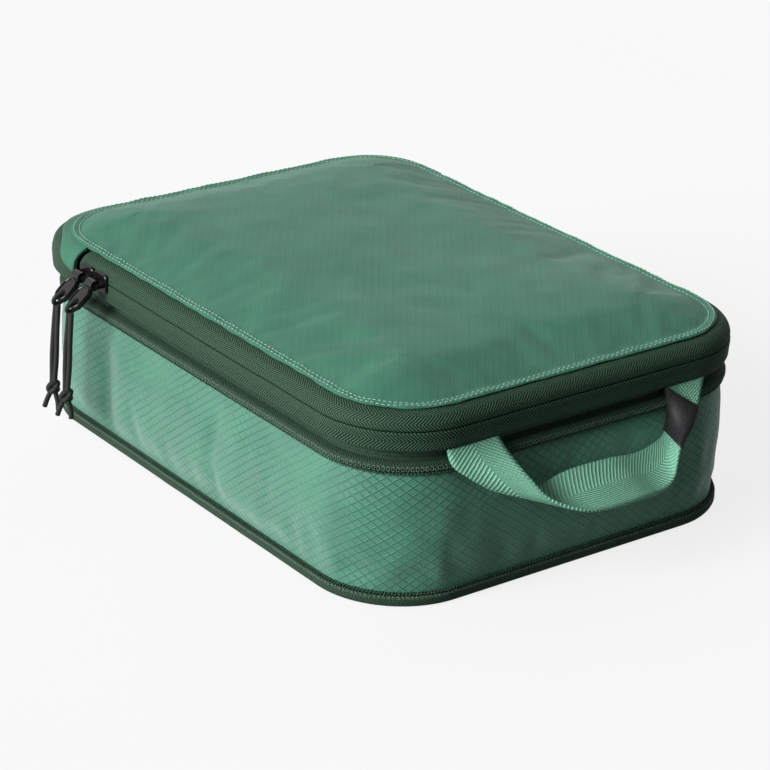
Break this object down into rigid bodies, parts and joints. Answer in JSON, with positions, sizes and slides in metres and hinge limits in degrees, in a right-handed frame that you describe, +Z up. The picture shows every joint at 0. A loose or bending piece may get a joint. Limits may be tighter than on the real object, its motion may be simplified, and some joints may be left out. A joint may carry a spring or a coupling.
{
  "type": "packing cube",
  "caption": "Soft ripstop packing cube with a crowned zip-open lid, a compression zip round its gusset, corded zip pulls and a webbing grab handle.",
  "frame": {"origin": "middle of the underside, on the surface that the cube stands on", "axes": "+X along the long side towards the handle, +Y away from the zip sliders, +Z up"},
  "size_m": [0.304, 0.2189, 0.0882],
  "materials": {
    "ripstop": "sage green ripstop nylon",
    "lining": "sage green coated nylon",
    "binding": "dark green seam tape",
    "tape": "dark green herringbone zip tape",
    "coil": "dark green nylon coil",
    "webbing": "sage green twill webbing",
    "label": "black woven label",
    "slider_metal": "black painted die-cast metal",
    "pull_plastic": "glossy black moulded pull",
    "cord": "black braided cord"
  },
  "bodies": {
    "base": {"bottom_panel": "lining", "gusset": "ripstop", "base_binding": "binding", "compression_tape_lower": "tape", "compression_coil_lower": "coil"},
    "upper": {"compression_tape_upper": "tape", "compression_coil_upper": "coil", "upper_binding": "binding", "main_tape_lower": "tape", "main_coil_lower": "coil", "back_band": "ripstop", "lid_back_strip": "ripstop", "lid_back_hem": "ripstop", "zip_end_tab_near": "ripstop", "zip_end_tab_far": "ripstop", "handle_ends": "webbing"},
    "lid": {"lid_panel": "ripstop", "lid_hem": "ripstop", "main_tape_upper": "tape", "main_coil_upper": "coil", "lid_binding": "binding"},
    "slider_1": {"main_slider_1": "slider_metal"},
    "slider_2": {"main_slider_2": "slider_metal"},
    "pull_1": {"pull_tab_1": "pull_plastic"},
    "pull_2": {"pull_tab_2": "pull_plastic"},
    "cord_1": {"pull_cord_1_left": "cord", "pull_cord_1_right": "cord", "pull_knot_1": "cord"},
    "cord_2": {"pull_cord_2_left": "cord", "pull_cord_2_right": "cord", "pull_knot_2": "cord"},
    "back_slider": {"compression_slider": "slider_metal"},
    "back_pull": {"compression_pull": "pull_plastic"},
    "handle": {"handle_webbing": "webbing", "handle_label": "label"}
  },
  "joints": [
    {"name": "compression", "type": "slide", "parent": "base", "child": "upper", "axis": [0, 0, 1], "range_m": [-0.047, 0], "deforming": ["gusset"]},
    {"name": "lid_bend", "type": "hinge", "parent": "upper", "child": "lid", "pos_m": [-0.0855, 0, 0.0885], "axis": [0, -1, 0], "range_deg": [0, 150]},
    {"name": "slider_1_travel", "type": "slide", "parent": "upper", "child": "slider_1", "axis": [1, 0, 0], "range_m": [-0.0025, 0]},
    {"name": "slider_2_travel", "type": "slide", "parent": "upper", "child": "slider_2", "axis": [1, 0, 0], "range_m": [0, 0.135]},
    {"name": "pull_1_swing", "type": "hinge", "parent": "slider_1", "child": "pull_1", "pos_m": [-0.077, -0.103, 0.0745], "axis": [-1, 0, 0], "range_deg": [0, 72]},
    {"name": "pull_2_swing", "type": "hinge", "parent": "slider_2", "child": "pull_2", "pos_m": [-0.0663, -0.103, 0.0745], "axis": [-1, 0, 0], "range_deg": [0, 72]},
    {"name": "cord_1_swing", "type": "hinge", "parent": "pull_1", "child": "cord_1", "pos_m": [-0.077, -0.11365, 0.06556], "axis": [-1, 0, 0], "range_deg": [0, 84]},
    {"name": "cord_2_swing", "type": "hinge", "parent": "pull_2", "child": "cord_2", "pos_m": [-0.0663, -0.11365, 0.06556], "axis": [-1, 0, 0], "range_deg": [0, 84]},
    {"name": "back_slider_travel", "type": "slide", "parent": "base", "child": "back_slider", "axis": [0, 1, 0], "range_m": [0, 0.024]},
    {"name": "back_pull_swing", "type": "hinge", "parent": "back_slider", "child": "back_pull", "pos_m": [-0.1349, 0.022, 0.0062], "axis": [0, 1, 0], "range_deg": [0, 95]},
    {"name": "handle_swing", "type": "hinge", "parent": "upper", "child": "handle", "pos_m": [0.1309, 0, 0.0655], "axis": [0, -1, 0], "range_deg": [-25, 110]}
  ],
  "couplings": [
    {"joint": "cord_1_swing", "follows": "compression", "rad_per_m": -31.193},
    {"joint": "cord_2_swing", "follows": "compression", "rad_per_m": -31.193}
  ]
}
